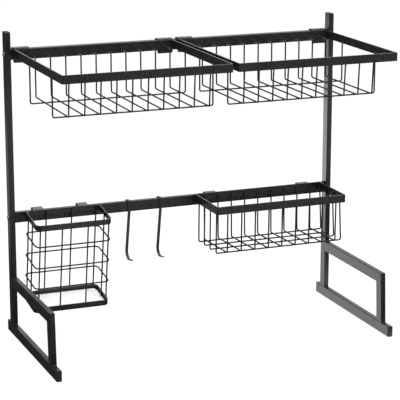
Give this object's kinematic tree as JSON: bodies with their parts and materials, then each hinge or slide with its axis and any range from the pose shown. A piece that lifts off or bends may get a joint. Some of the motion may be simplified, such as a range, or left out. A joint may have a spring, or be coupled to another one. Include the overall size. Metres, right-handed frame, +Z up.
{
  "type": "sink organizer",
  "caption": "Two-tier rack that stands astride a sink: hooked wire racks above, a hooked basket, a leaning cutlery basket and utensil hooks on the lower crossbar",
  "frame": {"origin": "centre of the bounding box in X and Y, on the floor under the foot bars", "axes": "+X to the right along the crossbars, +Y to the back, +Z up; the racks reach forward along -Y"},
  "size_m": [0.6556, 0.322, 0.566],
  "materials": {
    "coat": "fine-textured black powder coat on steel",
    "cap": "matte black moulded plastic",
    "screw": "blackened steel",
    "zinc": "zinc-plated steel",
    "tray": "pale semi-matte plastic"
  },
  "bodies": {
    "frame": {"left_foot_bar": "coat", "left_foot_cap_rear": "cap", "left_foot_cap_front": "cap", "left_upright": "coat", "left_upright_cap": "cap", "left_arm": "coat", "left_front_post": "coat", "right_foot_bar": "coat", "right_foot_cap_rear": "cap", "right_foot_cap_front": "cap", "right_upright": "coat", "right_upright_cap": "cap", "right_arm": "coat", "right_front_post": "coat", "upper_crossbar": "coat", "upper_crossbar_left_insert": "zinc", "upper_crossbar_right_insert": "zinc", "upper_crossbar_left_screw": "screw", "upper_crossbar_right_screw": "screw", "lower_crossbar": "coat", "lower_crossbar_left_insert": "zinc", "lower_crossbar_right_insert": "zinc", "lower_crossbar_left_screw": "screw", "lower_crossbar_right_screw": "screw"},
    "left_rack": {"left_rack_rim": "coat", "left_rack_hook_left": "coat", "left_rack_hook_right": "coat", "left_rack_cage": "coat"},
    "right_rack": {"right_rack_rim": "coat", "right_rack_hook_left": "coat", "right_rack_hook_right": "coat", "right_rack_cage": "coat"},
    "lower_basket": {"basket_rim": "coat", "basket_hook_left": "coat", "basket_hook_right": "coat", "basket_cage": "coat"},
    "cutlery_basket": {"cutlery_rim": "coat", "cutlery_hook_left": "coat", "cutlery_hook_right": "coat", "cutlery_cage": "coat", "cutlery_bottom_band": "coat", "cutlery_tray": "tray"},
    "hook_one": {"utensil_hook_1": "coat"},
    "hook_two": {"utensil_hook_2": "coat"}
  },
  "joints": [
    {"name": "left_rack_lift", "type": "slide", "parent": "frame", "child": "left_rack", "axis": [0, 0, 1], "range_m": [0, 0.13]},
    {"name": "right_rack_lift", "type": "slide", "parent": "frame", "child": "right_rack", "axis": [0, 0, 1], "range_m": [0, 0.13]},
    {"name": "basket_slide", "type": "slide", "parent": "frame", "child": "lower_basket", "axis": [1, 0, 0], "range_m": [-0.064, 0.012]},
    {"name": "cutlery_slide", "type": "slide", "parent": "frame", "child": "cutlery_basket", "axis": [1, 0, 0], "range_m": [-0.018, 0.057]},
    {"name": "hook_one_slide", "type": "slide", "parent": "frame", "child": "hook_one", "axis": [1, 0, 0], "range_m": [-0.054, 0.054]},
    {"name": "hook_two_slide", "type": "slide", "parent": "frame", "child": "hook_two", "axis": [1, 0, 0], "range_m": [-0.054, 0.064]}
  ]
}
